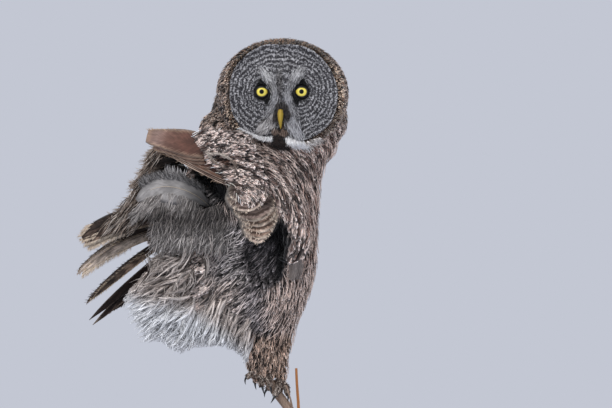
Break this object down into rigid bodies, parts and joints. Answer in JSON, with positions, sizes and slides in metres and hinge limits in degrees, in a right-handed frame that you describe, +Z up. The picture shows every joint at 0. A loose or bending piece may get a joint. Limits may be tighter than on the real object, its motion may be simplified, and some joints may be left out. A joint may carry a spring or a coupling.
{
  "type": "great grey owl",
  "caption": "Still, life-size great grey owl gripping a cut stem, face to the viewer and tail blown back, on a round display stand.",
  "frame": {"origin": "on the floor under the stem's grip, on the underside of the base", "axes": "+Z up, face towards -Y, breast towards +X, tail towards -X"},
  "size_m": [0.3703, 0.3, 0.6009],
  "materials": {
    "plumage": "grey-brown barred and mottled feathers, dull",
    "iris": "bright yellow iris with a black pupil, wet gloss",
    "bill_horn": "yellow-ochre horn, satin",
    "claw_horn": "black horn, satin",
    "toe_plumage": "short dense grey-brown feathers, dull",
    "bark": "thin grey-brown bark, dull",
    "stand_wood": "dark stained wood, satin",
    "stand_rod_metal": "black paint, satin"
  },
  "bodies": {
    "root": {"torso": "plumage", "neck": "plumage", "head": "plumage", "tail": "plumage", "right_wing": "plumage", "left_wing": "plumage", "right_leg": "plumage", "left_leg": "plumage", "right_eye": "iris", "left_eye": "iris", "upper_bill": "bill_horn", "lower_bill": "bill_horn", "right_foot": "toe_plumage", "left_foot": "toe_plumage", "perch_stem": "bark", "stand_base": "stand_wood", "stand_rod": "stand_rod_metal", "right_outer_claw": "claw_horn", "right_front_claw": "claw_horn", "right_inner_claw": "claw_horn", "right_hind_claw": "claw_horn", "left_outer_claw": "claw_horn", "left_front_claw": "claw_horn", "left_inner_claw": "claw_horn", "left_hind_claw": "claw_horn"}
  },
  "joints": []
}
